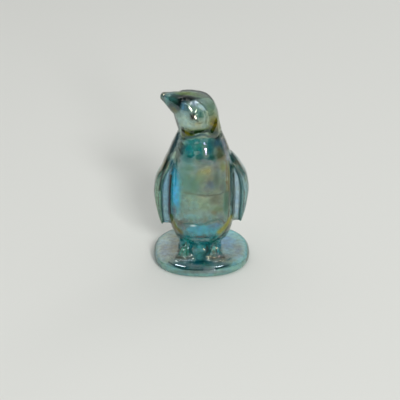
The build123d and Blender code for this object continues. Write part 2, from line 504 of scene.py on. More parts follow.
def melt(name, surfaces):
    """The closed surfaces as one closed skin, fused and eased where they meet."""
    form = add_object(name, mesh_of(name, surfaces))
    fuse = form.modifiers.new("fuse", "REMESH")
    fuse.mode = "VOXEL"
    fuse.voxel_size = VOXEL
    ease = form.modifiers.new("ease", "SMOOTH")
    ease.factor = EASE_SHARE
    ease.iterations = EASE_ROUNDS
    graph = bpy.context.evaluated_depsgraph_get()
    melted = bpy.data.meshes.new_from_object(form.evaluated_get(graph))
    bpy.data.objects.remove(form)
    melted.name = name
    refine(melted)
    return melted


def glass_surfaces():
    """Every closed surface of the ornament, overlapping where the forms meet."""
    surfaces = [trunk(), beak(), pad(), post(), tail()]
    surfaces += flipper_and_web(1, FLIPPER_SHARES + LEFT_SHOULDER_SHARES)
    surfaces += flipper_and_web(-1, FLIPPER_SHARES + RIGHT_SHOULDER_SHARES)
    surfaces += foot(1) + foot(-1)
    return surfaces


# The slope of the view onto the chest
VIEW_SLANT = np.radians(24.5)


def slanted_height(points):
    """Height measured along a line that leans back from upright by the slope of the view."""
    return points[:, 2] * np.cos(VIEW_SLANT) + points[:, 1] * np.sin(VIEW_SLANT)


# Marks pressed into the skin. From here to the materials, all lengths are in mm.
COAT_EDGE = np.array([(17.0, 7.0), (20.0, 11.0), (27.0, 14.0), (42.0, 14.4), (60.0, 13.6), (73.0, 11.2)])
COAT_STEP = 0.30
COAT_SOFTNESS = 0.5
COAT_FOOT = (16.5, 18.5)
COAT_TOP = (74.5, 73.0)
COAT_SIDE = (-3.0, -6.0)
# Creases: height, depth and width, height, pitch and phase of their waves, and tilt
BELLY_CREASE = (43.3, 0.16, 0.9, 0.25, 2.6, 0.0, 0.012)
BELLY_CREASE_START = (-11.5, -9.5)
NECK_CREASE = (74.3, 0.20, 1.6, 0.45, 1.7, 0.6, 0.0)
NECK_CREASE_SIDE = (0.0, -6.0)
# The head's own directions: ahead along the beak, and sideways towards the left eye
FACE_MIDDLE = np.array([-5.0, -3.35])
FACE_AHEAD = np.array([-0.978, -0.2075])
FACE_SIDE = np.array([0.2075, -0.978])
FACE_FLANK = (5.0, 7.0)
FACE_FOOT = (78.5, 80.5)
EYE_HEIGHT = 87.2
# Rings about each eye: middle ahead and above, radius, height and width. Below 0 it is a groove.
EYE_RINGS = [
    (1.0, -0.6, 6.6, -0.14, 1.7),
    (1.0, -0.6, 5.0, 0.07, 1.9),
    (-0.6, -1.4, 2.2, -0.10, 1.5),
    (-0.6, -1.4, 0.0, 0.05, 2.2),
]
# Headings of the facets, named after what they mirror or where they lie
TO_WINDOW = (0.138, -0.948, 0.287)
TO_RIGHT_WINDOW = (0.233, -0.782, 0.578)
PAST_WINDOW = (0.260, -0.900, 0.350)
UNDER_WINDOW = (0.080, -0.987, 0.140)
BEAK_HOLLOW = (-0.330, -0.860, 0.380)
UNDER_BROW = (-0.050, -0.860, 0.500)
CHEEK_TOP = (-0.100, -0.900, 0.420)
NECK_SIDE = (0.260, -0.880, 0.400)
NECK_EDGE = (-0.340, -0.880, 0.330)
NECK_NEAR = (-0.160, -0.890, 0.400)
NECK_FRONT = (-0.080, -0.900, 0.420)
SHOULDER_SIDE = (0.360, -0.850, 0.380)
# Small flat facets: both ends, across and in slanted height, half width and heading
FACETS = [
    ((-10.9, 80.2), (-7.4, 79.6), 1.00, BEAK_HOLLOW),
    ((-8.2, 81.0), (-3.4, 81.0), 0.90, UNDER_BROW),
    ((-9.4, 79.3), (-6.2, 78.6), 0.55, CHEEK_TOP),
    ((-0.7, 77.2), (-0.9, 70.6), 1.50, PAST_WINDOW),
    ((-4.7, 72.4), (-4.1, 71.0), 0.75, UNDER_WINDOW),
    ((-3.3, 79.4), (-1.2, 78.5), 0.22, TO_RIGHT_WINDOW),
    ((-5.9, 76.4), (-3.7, 73.3), 0.46, TO_WINDOW),
    ((-3.5, 73.5), (-2.6, 74.8), 0.48, TO_WINDOW),
    ((-3.7, 73.3), (-2.8, 71.0), 0.54, TO_WINDOW),
    ((6.1, 69.8), (6.7, 64.6), 1.60, NECK_SIDE),
    ((-8.9, 64.8), (-5.2, 63.0), 1.30, NECK_EDGE),
    ((-3.2, 64.2), (-1.2, 64.5), 0.70, NECK_NEAR),
    ((-0.5, 64.7), (1.0, 64.9), 0.70, NECK_FRONT),
    ((15.2, 54.2), (18.4, 49.8), 0.95, SHOULDER_SIDE),
    ((0.9, 63.0), (1.3, 60.6), 1.10, UNDER_WINDOW),
    ((1.6, 58.8), (2.0, 56.4), 0.85, TO_WINDOW),
    ((2.0, 56.4), (2.7, 53.4), 0.70, TO_WINDOW),
]
FACET_SOFTNESS = 1.7
FACET_ANCHOR = 1.2
FACET_LIMIT = 0.5
# How far a normal points forward where marks of the front start, and where they are whole
MARKS_FACING = (0.15, 0.6)
# Feathers on the legs and waves all over: height, then pitch, number and seed of the sines
LEG_FEATHER_HEIGHT = 0.14
LEG_FEATHERS = (2.6, 24, 9)
LEG_FOOT = (7.5, 9.5)
LEG_TOP = (19.0, 16.5)
WAVE_HEIGHT = 0.045
WIDE_WAVES = (9.0, 14, 3)
CLOSE_WAVES = (4.0, 18, 5)
WAVE_FOOT = (8.0, 12.0)
PAD_SEAM_HEIGHT = 3.6
PAD_SEAM_DEPTH = 0.10
PAD_SEAM_WIDTH = 0.9
PAD_SEAM_FRONT = (-19.0, -22.0)


def face_place(points):
    """Distance ahead, distance to either side and height of points, as the head sees them."""
    flat = points[:, :2] - FACE_MIDDLE
    return flat @ FACE_AHEAD, np.abs(flat @ FACE_SIDE), points[:, 2]


def groove(distance, width):
    """1 on a line, falling like a bell curve to almost 0 at a distance of width."""
    return np.exp(-((distance / (0.5 * width)) ** 2))


def distance_to_path(across, up, path):
    """Least distance of points (across, up) from a path of straight runs."""
    least = np.full_like(across, np.inf)
    for (x0, y0), (x1, y1) in zip(path[:-1], path[1:]):
        run = np.array([x1 - x0, y1 - y0])
        along = np.clip(((across - x0) * run[0] + (up - y0) * run[1]) / (run @ run), 0.0, 1.0)
        least = np.minimum(least, np.hypot(across - x0 - along * run[0], up - y0 - along * run[1]))
    return least


def waves(points, pitch, count, seed):
    """Sum of sine waves with random headings and phases, about 1 high."""
    chance = np.random.default_rng(seed)
    heading = chance.normal(size=(count, 3))
    heading *= 2 * np.pi / (pitch * np.linalg.norm(heading, axis=1, keepdims=True))
    phase = chance.uniform(0.0, 2 * np.pi, count)
    return np.sin(points @ heading.T + phase).sum(1) * np.sqrt(2.0 / count)


def coat_inside(points):
    """1 on the panel of the chest and belly, 0 outside its edge, and a soft step between."""
    x, y, z = points.T
    edge = through(COAT_EDGE[:, 0], COAT_EDGE[:, 1], np.clip(z, COAT_EDGE[0, 0], COAT_EDGE[-1, 0]))
    across = soft_step(COAT_SOFTNESS, -COAT_SOFTNESS, np.abs(x) - edge)
    return across * soft_step(*COAT_FOOT, z) * soft_step(*COAT_TOP, z) * soft_step(*COAT_SIDE, y)


def crease(x, z, height, deep, wide, swing, pitch, phase, tilt):
    """Depth of a groove across the body, about a line that waves like a sine and rises with x."""
    line = height + swing * np.sin(x / pitch + phase) + tilt * x
    return deep * groove(z - line, wide)


def marks(points, normals):
    """How far each point of the skin moves out along its normal.

    The coat panel is a step inwards. The creases, the rings round the eyes and the seam of
    the pad are bell-shaped grooves and ridges about a line. Each facet is a plane across its
    heading, through the skin at the middle of its line. Low waves run all over.
    """
    x, y, z = points.T
    slanted = slanted_height(points)
    facing = soft_step(*MARKS_FACING, -normals[:, 1])
    out = -COAT_STEP * coat_inside(points)
    out -= crease(x, z, *BELLY_CREASE) * soft_step(*BELLY_CREASE_START, x) * facing
    out -= crease(x, z, *NECK_CREASE) * soft_step(*NECK_CREASE_SIDE, y)

    ahead, aside, height = face_place(points)
    on_face = soft_step(*FACE_FLANK, aside) * soft_step(*FACE_FOOT, z)
    for forward, up, radius, high, wide in EYE_RINGS:
        from_middle = np.hypot(ahead - forward, height - EYE_HEIGHT - up)
        out += high * on_face * groove(from_middle - radius, wide)

    for start, end, half_width, heading in FACETS:
        away = distance_to_path(x, slanted, [start, end])
        middle = np.add(start, end) / 2
        near = facing * groove(np.hypot(x - middle[0], slanted - middle[1]), FACET_ANCHOR)
        anchor = (near @ points) / near.sum()
        level = -((points - anchor) @ heading) / np.maximum(normals @ heading, 0.5)
        share = facing * soft_step(FACET_SOFTNESS, 1.0, away / half_width)
        out += share * np.clip(level - out, -FACET_LIMIT, FACET_LIMIT)

    legs = soft_step(*LEG_FOOT, z) * soft_step(*LEG_TOP, z)
    out += LEG_FEATHER_HEIGHT * legs * waves(points, *LEG_FEATHERS)
    out += WAVE_HEIGHT * soft_step(*WAVE_FOOT, z) * (
        waves(points, *WIDE_WAVES) + 0.5 * waves(points, *CLOSE_WAVES)
    )
    seam = groove(z - PAD_SEAM_HEIGHT, PAD_SEAM_WIDTH)
    return out - PAD_SEAM_DEPTH * soft_step(*PAD_SEAM_FRONT, y) * seam


def press(mesh):
    """Press the marks into the skin, kept inside the frame's box. Gives its points in mm, and normals."""
    count = len(mesh.vertices)
    points = np.empty(3 * count)
    normals = np.empty(3 * count)
    mesh.vertices.foreach_get("co", points)
    mesh.vertices.foreach_get("normal", normals)
    points, normals = points.reshape(-1, 3), normals.reshape(-1, 3)
    points += normals * marks(points / MM, normals)[:, None] * MM
    points = np.clip(points, *np.array(cad_box))
    mesh.vertices.foreach_set("co", points.ravel())
    mesh.update()
    return points / MM, normals


# Colours of the film in hundredths, as they look in plain light
CLEAR = (84, 92, 85)
DEEP_TEAL = (12, 34, 34)
NIGHT_TEAL = (3, 13, 12)
BLACK_TEAL = (1, 7, 6)
CLEAR_HAZE = 4

# Depth of the film in nanometres: its mean, its swing and some patches of their own depth,
# as across, slanted height, half width, half height and depth
FILM_DEPTH = 115.0
FILM_DEPTH_SWING = 32.0
FILM_DEPTH_WAVES = (30.0, 12, 21)
FILM_DEPTH_FRONT = (0.0, -3.0)
FILM_DEPTHS = [
    (-3, 76, 4.5, 4.5, 95),
    (-7.5, 81.4, 9.5, 3.4, 6),
    (-4, 84, 9, 2, 20),
    (-13.5, 80, 4.5, 4.5, 20),
    (0, 64.5, 11, 3.6, 15),
    (2.5, 57, 5, 6, 158),
    (-7, 56, 4.5, 6, 20),
    (16, 52, 3, 5, 20),
    (0, -5, 18, 4, 14),
    (-8, 9, 4, 5, 20),
    (7, 9, 4, 5, 20),
    (-18, 5, 6, 7, 150),
    (16, 6, 8, 7, 172),
    (19, 38, 4, 16, 150),
    (-19, 38, 4, 16, 165),
]

# Film patches on the front of the skin, among them painted highlights and painted reflections: across,
# slanted height, half width, half height, tilt in degrees, and colour, strength and haze in hundredths
FRONT_FILM_AND_PAINTED_LIGHT = [
    # Head and neck
    (-3, 75.5, 11, 9, 0, (60, 72, 66), 90, 22),
    (-8.6, 83.5, 5.6, 1.3, -3, (50, 62, 16), 95, 60),
    (-1, 82.4, 5, 1.6, -18, (40, 52, 34), 90, 50),
    (4.4, 77.8, 2.6, 4.6, 22, (58, 68, 58), 85, 25),
    (4.2, 75.6, 1.4, 2.4, 0, (50, 64, 50), 50, 30),
    (-16, 80.5, 5, 4.5, 0, (48, 76, 75), 95, 38),
    (-19, 81.8, 1.3, 2.8, 0, (56, 66, 68), 85, 30),
    (-13.2, 82, 3.4, 1.5, -8, (12, 30, 28), 95, 60),
    (-14.6, 79.9, 2.4, 1.2, -20, (18, 38, 38), 90, 45),
    # Painted highlight: a small pale spot on the beak
    (-16, 82.5, 0.9, 0.6, 0, (74, 92, 88), 90, 50),
    (-11.2, 80.9, 1, 0.6, 0, (44, 66, 62), 90, 45),
    (-12.6, 78.2, 2.3, 2.2, 0, (10, 24, 20), 100, 65),
    (-11.4, 76.3, 1.4, 2, 0, NIGHT_TEAL, 100, 75),
    (-15.8, 78, 2.4, 1.1, -45, (36, 44, 46), 90, 30),
    (-13.7, 75.4, 2.4, 1, -45, (44, 44, 22), 95, 50),
    (-8.6, 80.9, 4.1, 2.1, -12, BLACK_TEAL, 100, 90),
    (-5.2, 80.9, 3.6, 1.3, -8, BLACK_TEAL, 100, 90),
    (-2.2, 81, 2, 0.4, 0, NIGHT_TEAL, 95, 70),
    (-10.2, 78.9, 1.4, 2.2, 20, BLACK_TEAL, 100, 80),
    (-8.8, 76.5, 1.5, 2.9, 0, (34, 54, 70), 100, 55),
    (-7, 73.8, 1.6, 3, 25, (42, 60, 66), 95, 45),
    (-5.5, 78.6, 1.1, 0.8, 0, (62, 62, 66), 90, 40),
    # Painted highlight: a pale blue arc along the brow
    (-3.5, 78.2, 1.7, 1.8, 0, (70, 80, 94), 95, 55),
    # Painted reflection: a pale grey-blue patch beside the eye
    (0.2, 76.2, 3.3, 1.3, -38, (84, 94, 96), 95, 60),
    (-0.8, 72.3, 2, 2.6, 0, (40, 60, 56), 90, 40),
    (-9.4, 70, 4, 3.4, -40, (72, 84, 80), 95, 50),
    (-5.7, 67.2, 5.2, 2.2, -15, (72, 83, 78), 95, 50),
    (-0.8, 65.8, 4.4, 1.3, 0, (70, 76, 64), 90, 45),
    (-11.7, 73, 1.9, 1.3, 0, (56, 68, 63), 90, 40),
    (-1.6, 68, 3.4, 1.7, 0, (74, 74, 58), 90, 50),
    (3.4, 70.2, 1.9, 4.5, 0, (54, 62, 52), 85, 40),
    (-4.3, 71.7, 1.5, 1.7, 0, (0, 5, 4), 100, 100),
    (-6.8, 63.5, 4.6, 2.6, -16, (29, 30, 0), 100, 100),
    (-6.6, 64, 2.4, 0.8, -12, (40, 38, 3), 90, 95),
    (-9.5, 65.5, 1, 1.8, 15, (14, 15, 3), 100, 80),
    (-0.8, 64.3, 4.2, 1, 3, (10, 15, 10), 100, 85),
    (3.9, 65.4, 2.7, 1.7, 0, (24, 28, 12), 95, 80),
    (6.6, 67.8, 3, 6, 0, (30, 30, 2), 100, 95),
    (6.4, 64.4, 2.6, 2.4, 0, (14, 17, 2), 100, 100),
    (8.4, 61.6, 1.3, 1.8, 20, (14, 22, 20), 100, 60),
    # Chest and shoulders
    (-16, 57, 2.2, 5.4, -27, (60, 68, 70), 85, 15),
    (-15.6, 49.8, 1.5, 2.3, 0, (0, 30, 44), 100, 50),
    (-14.9, 45.6, 1.5, 2.6, 0, (26, 42, 52), 95, 45),
    (-10.4, 54.6, 1.3, 3.4, 0, (38, 44, 43), 90, 40),
    (-12.6, 51.5, 1.5, 3, 0, (42, 50, 40), 85, 40),
    (-1.5, 60, 7, 1.8, 0, (18, 56, 60), 95, 50),
    (-6.2, 54, 3.6, 6.4, 0, (0, 48, 52), 100, 62),
    (-6.6, 51.2, 3, 2, 0, (2, 40, 38), 90, 50),
    (-5.6, 53.8, 1, 0.7, 20, (36, 66, 66), 90, 50),
    (-1.2, 55, 2.4, 4.8, 0, (6, 48, 50), 95, 58),
    (-0.8, 51.2, 2.2, 2.6, 0, (22, 44, 42), 90, 50),
    (4.4, 57, 2.2, 5, 0, (8, 42, 46), 95, 55),
    (5.2, 51.9, 2, 1.7, 0, (8, 34, 32), 95, 50),
    (2.4, 50.4, 2, 1.8, 0, (24, 46, 42), 80, 45),
    (7.4, 59.2, 3.2, 2.8, 0, (22, 40, 46), 95, 50),
    (10.8, 57.4, 1, 2.9, 22, (4, 32, 44), 95, 50),
    (9.4, 53, 2.6, 3.8, 0, (30, 34, 22), 95, 55),
    (15.4, 53.6, 1.9, 2.8, 38, (1, 26, 24), 100, 90),
    (15.9, 48.6, 1.3, 3.2, 0, (6, 26, 20), 95, 75),
    (16.6, 51.4, 2.2, 2.6, 30, (0, 22, 20), 100, 88),
    (18, 49.6, 1.5, 1.1, -45, (26, 24, 18), 90, 50),
    # Belly and underside
    (-9, 40.5, 3.8, 8.5, 0, (30, 60, 55), 95, 52),
    (-4, 38, 3.4, 5.5, 0, (24, 54, 48), 90, 50),
    (-6.5, 46.4, 4, 1.4, 0, (24, 53, 47), 85, 50),
    (-0.6, 41.8, 3.4, 3.6, 0, (40, 58, 46), 85, 50),
    (2.4, 45, 4.4, 2.6, 25, (62, 64, 42), 90, 50),
    (11, 47.2, 1.7, 2.4, 0, (48, 54, 28), 90, 45),
    (7, 46.8, 2.2, 1.6, 0, (46, 50, 46), 85, 45),
    (4.6, 40.8, 2.6, 3.4, 20, (52, 55, 42), 80, 45),
    (7.8, 40.4, 1.9, 5.6, 0, (19, 37, 36), 90, 52),
    (4.6, 38, 2.3, 2.5, 20, (20, 37, 50), 90, 58),
    (2.6, 35.8, 2.2, 1.5, 0, (41, 50, 52), 85, 50),
    (11, 38.6, 1.9, 4, 0, (32, 47, 43), 90, 45),
    (10.4, 36.6, 1.6, 1.8, 0, (36, 46, 52), 80, 45),
    (-9.8, 27.5, 3.2, 6.8, 0, (50, 69, 63), 95, 50),
    (-3.8, 28, 4.6, 5.2, 0, (53, 72, 65), 95, 50),
    (2.2, 27, 4, 4.4, 0, (52, 67, 58), 90, 50),
    (7.2, 30.6, 3.2, 2.8, 0, (32, 38, 32), 85, 50),
    (8.6, 25.8, 3.6, 2, 0, (36, 50, 37), 90, 50),
    (6.4, 23.4, 1.4, 1.4, 0, (42, 42, 32), 70, 45),
    (12.9, 29.5, 1.6, 8.6, 0, (3, 38, 34), 95, 62),
    (-4.6, 21, 6.4, 2.4, 0, (50, 77, 75), 95, 50),
    (5.4, 21, 3.4, 2, 0, (42, 66, 64), 90, 50),
    (-13.5, 35, 2.8, 12.5, 0, (2, 74, 96), 100, 80),
    (-14.4, 25, 1.5, 2.6, 0, (34, 52, 62), 85, 45),
    (0.4, 14.8, 12.5, 3.6, 0, (14, 68, 80), 100, 58),
    (7, 17.2, 3.2, 1.6, 8, (28, 54, 68), 85, 60),
    (-9.3, 15.6, 1.2, 1.6, 0, (48, 64, 72), 80, 50),
    # Painted highlight: a small near-white spot low on the belly
    (-4.4, 17, 1.7, 0.6, 0, (86, 96, 98), 95, 80),
    # Feet and pad
    (-8, 9.4, 3.2, 3.4, 0, (2, 54, 52), 100, 60),
    (7.2, 9.6, 3.2, 3.2, 0, (0, 34, 30), 100, 82),
    (-10.6, 12.2, 1.8, 0.9, -40, (12, 24, 24), 95, 60),
    (0.4, 10.9, 8.4, 1.4, 0, (2, 44, 48), 100, 72),
    (0, 11, 4, 0.6, 0, (4, 24, 30), 100, 70),
    (-0.6, 8.9, 4.4, 0.9, 0, (34, 54, 58), 95, 50),
    (-0.6, 5.4, 3.6, 2, 0, (30, 84, 88), 95, 50),
    (-0.4, 0.8, 4, 3.4, 0, (42, 82, 84), 95, 50),
    (1.6, 0, 1.6, 2.6, 0, (36, 56, 57), 80, 45),
    (-9, 3.4, 2.6, 3, 20, (42, 84, 72), 85, 52),
    (6.6, 3.6, 2.8, 2.8, 0, (58, 100, 100), 85, 54),
    (6.4, 2.4, 1.2, 1.8, 10, (62, 62, 56), 80, 50),
    (-15.8, 4.5, 2.6, 4, 0, (62, 74, 74), 75, 45),
    (-20, 3.5, 2.6, 4, 0, (68, 84, 94), 75, 45),
    (13.8, 7, 4.4, 3.6, 0, (50, 80, 100), 90, 50),
    (20, 3, 3.6, 5, 0, (66, 84, 88), 80, 42),
    # Painted reflection: dark patches along the pad's front rim, standing for the dark room reflected there
    (-10.8, -3.9, 4.8, 1.5, -12, (0, 31, 33), 100, 62),
    (-0.6, -2.4, 6.2, 1.2, 0, (2, 36, 40), 100, 56),
    (0.2, -4.8, 5.4, 0.7, 0, (34, 52, 53), 90, 45),
    (10.6, -3.9, 4.6, 1.3, 8, (3, 34, 33), 95, 58),
    (3.4, -3.6, 3.4, 1.5, 0, (0, 40, 38), 95, 60),
    (0, -7.2, 14, 1, 0, (54, 65, 60), 95, 35),
    # Flippers
    (-18.4, 48.6, 1.6, 3.2, -35, (44, 46, 18), 90, 55),
    (20, 45.8, 1.8, 4.2, 28, (30, 44, 42), 90, 30),
]
# Film lines on the front, among them painted highlights, painted shade and a painted shadow: points across
# and slanted height, half width, colour, strength and haze
FILM_AND_PAINTED_LIGHT_LINES = [
    # Beak, eye and face
    ([(-1.5, 79.5), (0.8, 77.5), (2.8, 74.9)], 0.30, (30, 42, 40), 80, 50),
    ([(-3.9, 79), (-3.6, 77.2)], 0.22, (38, 46, 58), 80, 50),
    ([(-2.5, 79.2), (-2, 77.4)], 0.22, (42, 50, 60), 80, 50),
    ([(-7.4, 78.2), (-6.8, 75), (-5.6, 72.4)], 0.30, (20, 34, 36), 85, 50),
    ([(-3.4, 70.9), (-1.8, 69.4)], 0.35, NIGHT_TEAL, 100, 75),
    # Painted shadow: a grey line under the eye
    ([(-5.6, 71.6), (-5.2, 70.3)], 0.30, (34, 34, 32), 85, 50),
    ([(-0.5, 73.8), (-0.7, 71.4)], 0.35, (18, 42, 40), 90, 50),
    # Painted highlights and painted shade: two pale arcs along the ring round the eye, with a dark arc
    # between them
    ([(0.8, 74), (1.8, 71.8), (1.5, 69.4)], 0.35, (68, 78, 72), 80, 50),
    ([(1.5, 74.8), (2.3, 71.8), (2, 68.9)], 0.26, (28, 46, 42), 85, 55),
    ([(2.8, 74.5), (3.4, 71.4), (2.9, 68.2)], 0.30, (74, 78, 68), 80, 50),
    ([(-13.9, 74), (-12.7, 71), (-11.3, 66.8)], 0.40, (34, 40, 39), 85, 35),
    # Neck
    ([(-5, 64.2), (-1, 64.8), (4, 65), (7.6, 64.4)], 1.00, (6, 18, 4), 100, 100),
    ([(5, 68.5), (6.4, 68.1), (7.9, 68.4)], 0.50, (36, 33, 3), 80, 95),
    ([(5.4, 65.8), (6.6, 65.4), (7.9, 65.5)], 0.40, (30, 27, 2), 80, 95),
    ([(4.6, 70), (6, 69.2), (7.6, 69.4)], 0.28, (24, 26, 12), 80, 50),
    ([(4.2, 67.4), (5.8, 66.8), (7.4, 66.9)], 0.28, (26, 24, 10), 80, 50),
    # Painted highlight: a pale line along the upper lip of the neck crease
    ([(-3, 63.2), (-0.7, 63.7), (1.3, 63.9), (3.3, 64)], 0.26, (72, 80, 77), 90, 50),
    ([(-8.2, 61.8), (-5.2, 61.9), (-3, 62.4), (-1.2, 62.9), (0.8, 63.3), (3.3, 62.5)], 0.55,
     (2, 24, 24), 100, 65),
    ([(3.6, 62.5), (5.6, 62.5), (7.6, 61.6)], 0.50, (22, 26, 30), 90, 55),
    # Shoulders and coat edges
    ([(-11.9, 64.4), (-12.5, 60.7), (-14.4, 55.8), (-17, 50.8), (-19.3, 46.2)], 1.00, (18, 34, 38), 90, 40),
    ([(-10.8, 65.9), (-10.9, 60.7), (-11.2, 57.4)], 0.80, (62, 70, 68), 90, 40),
    ([(-15, 54.6), (-17, 51.9), (-18.8, 48.2)], 0.30, (52, 70, 70), 80, 40),
    # Painted highlight: a lilac-grey streak down the right side of the neck and shoulder
    ([(10.6, 61.5), (11.8, 58), (13, 54), (14.1, 50.2)], 1.30, (66, 70, 73), 95, 50),
    ([(12.7, 50.5), (12.9, 43), (13.1, 35.4)], 0.35, (54, 46, 30), 90, 45),
    ([(13.9, 50.5), (14.1, 43), (14.1, 35.4)], 0.35, (50, 52, 26), 90, 45),
    ([(15.1, 48), (15.3, 40), (15.2, 28)], 0.45, (14, 34, 40), 85, 45),
    # Creases of the belly
    ([(-9.3, 34.2), (-5.8, 33.7), (-2.2, 33.1)], 0.35, (34, 46, 40), 80, 50),
    ([(-2.2, 33.1), (1.8, 32.6), (5.4, 32.9), (9.4, 33.3), (11, 34.3), (13.6, 34.7)], 0.36,
     (18, 28, 28), 95, 60),
    ([(-1.6, 32.2), (2, 31.8), (5, 32)], 0.28, (64, 68, 62), 80, 50),
    ([(-9.3, 17.9), (-6.7, 18.3), (-3.8, 17.9), (-1.2, 17.4), (1.4, 17.9), (3.4, 18.9), (6.4, 19.8),
      (9, 20.3), (10.5, 19)], 0.36, (3, 46, 50), 95, 62),
    # Body edges, gold corners and underside
    ([(-15.9, 43), (-16.6, 35), (-16.9, 27), (-16.7, 22.8)], 0.75, (2, 16, 18), 100, 80),
    ([(-16.5, 21.8), (-15.1, 16.4), (-13, 12.5), (-10.4, 10)], 0.50, (2, 20, 20), 100, 80),
    ([(16.5, 44), (16.7, 35), (16.7, 26), (16.4, 22.6)], 0.70, (10, 22, 20), 100, 70),
    ([(16.2, 21.6), (14.3, 16.4), (11.4, 12.2), (8.8, 10)], 0.45, (4, 20, 20), 100, 75),
    ([(-15.9, 22), (-15, 19), (-13.4, 15.8)], 0.90, (26, 40, 2), 100, 75),
    ([(-12.9, 15.2), (-10.2, 13.1)], 0.80, (42, 45, 20), 95, 52),
    ([(15.8, 21.4), (14.2, 18.6), (11.8, 15.6), (9.2, 13.3)], 1.25, (56, 60, 26), 100, 64),
    # Post, toes and pad
    ([(-4.4, 6), (-3.4, 1), (-3.8, -1.8)], 0.35, (52, 72, 70), 85, 50),
    ([(2.9, 7), (2.9, 0.5)], 0.30, (44, 62, 62), 80, 45),
    ([(-8, 7.8), (-12.6, 2.6)], 0.40, (22, 32, 30), 85, 50),
    ([(-8, 7.4), (-10.6, 1)], 0.35, (24, 36, 30), 85, 50),
    ([(-8, 7.2), (-7.8, 0.6)], 0.40, (16, 46, 34), 85, 50),
    ([(-7, 6.6), (-5.9, 1.4)], 0.35, (22, 34, 30), 85, 50),
    ([(6.2, 7.4), (4, 1.4)], 0.40, (12, 34, 34), 90, 50),
    ([(7.6, 6.8), (8.2, 1)], 0.35, (22, 28, 28), 90, 55),
    ([(-17.2, -2.4), (-13.6, -4.4), (-10, -5.9), (-3.4, -6.2), (5.5, -6.1), (10.8, -4.9), (14, -4)],
     0.35, (6, 24, 26), 100, 60),
    ([(-20.5, 13), (-23.8, 9.8), (-25.3, 5.8), (-25.4, 2.2), (-24.2, -2.6), (-21.4, -6)], 0.45,
     (10, 34, 36), 90, 50),
    ([(20.5, 13), (23.8, 9.8), (25.3, 5.8), (25.4, 2.2), (24.2, -2.6)], 0.40, (14, 38, 40), 85, 45),
    # Flippers
    ([(-17.6, 50.8), (-19.2, 46), (-20.7, 41.4), (-21.7, 35.6)], 0.60, (10, 20, 14), 95, 50),
    ([(-18, 43.4), (-19.6, 39.4), (-20.3, 33), (-20.4, 21.4)], 0.35, (20, 38, 42), 90, 45),
    ([(17.6, 47), (19.6, 42), (20.3, 35), (19.9, 22)], 0.45, (26, 42, 42), 85, 40),
]

# Colour and haze of the whole regions
RIGHT_BLADE_FILM = ((67, 84, 76), 14)
LEFT_BLADE_FILM = ((76, 92, 92), 14)
LEFT_WEB_FILM = ((78, 92, 98), 26)
RIGHT_WEB_FILM = ((62, 84, 92), 24)
BLADE_EDGE_FILM = (DEEP_TEAL, 30)
BLADE_EDGE_WIDTH = 0.7
BLADE_EDGE_SHARE = 0.95
PAD_FILM = ((84, 100, 100), 49)
PAD_LEFT_FILM = ((68, 100, 100), 50)
PAD_FRONT_FILM = ((52, 70, 70), 25)
PAD_BAND_FILM = ((66, 96, 92), 36)
LEG_FILM = ((2, 56, 60), 30)
# Painted highlight: a lighter colour along the top of each toe
TOE_CREST_HIGHLIGHT = ((62, 82, 76), 24)
TOE_HIGHLIGHT_SHARE = 0.5

# Slow clouds of colour on the sides and the back, which the photograph doesn't show: seed and colour
BACK_TINTS = [(31, (52, 72, 92)), (32, (80, 76, 46)), (33, (26, 64, 64))]
BACK_WAVES = (28.0, 12)
BACK_CLOUD = (0.3, 1.3)
BACK_SHARE = 0.6
BACK_HAZE = 15
# Where each region starts and where it is whole
BLADE_FOOT = (22.0, 24.0)
BLADE_TOP = (60.0, 54.0)
BLADE_SKIN = (-0.3, 0.3)
WEB_SKIN = (0.1, -0.4)
WEB_START = (15.4, 16.2)
PAD_SKIN = (8.5, 7.2)
PAD_LEFT = (4.0, 14.0)
PAD_FRONT = (-8.0, -16.0)
PAD_MIDDLE = (22.0, 10.0)
PAD_BAND = (4.7, 4.1)
LEG_FILM_FOOT = (8.4, 10.4)
LEG_FILM_TOP = (17.5, 15.5)
LEFT_HALF = (-1.0, 1.0)
# How far a normal points along the view where the front's film starts, and where it is whole
FILM_FACING = (0.02, 0.30)
# How steeply a patch ends, and the power that turns a colour on a screen into an amount of light
PATCH_POWER = 1.5
SCREEN_POWER = 2.2


def blade_inner_edge(z):
    """How far out the inner edge of a flipper stands at height z."""
    rise = np.clip((z * MM - flipper_low[2]) / blade_height, 0.0, 1.0)
    reach, thick, _ = curves(FLIPPER_SHARES + LEFT_SHOULDER_SHARES, rise)
    return (reach * flipper_high[0] - thick * FLIPPER_THICKNESS) / MM


def toe_crests(points):
    """1 along the top of each toe, 0 between them: a bell curve of the angle about the ankle."""
    crest = np.zeros(len(points))
    for side in (1, -1):
        x = points[:, 0] - (side * FOOT_SPACING / 2 - FOOT_SWAY) / MM
        y = -FOOT_REACH / MM - points[:, 1]
        heading = np.degrees(np.arctan2(x, np.maximum(y, 0.2)))
        far = soft_step(2.5, 5.0, np.hypot(x, y)) * (y > 0)
        for splay in (-TOE_SPLAY, 0.0, TOE_SPLAY):
            crest = np.maximum(crest, far * groove(heading - splay, 9.0))
    return crest


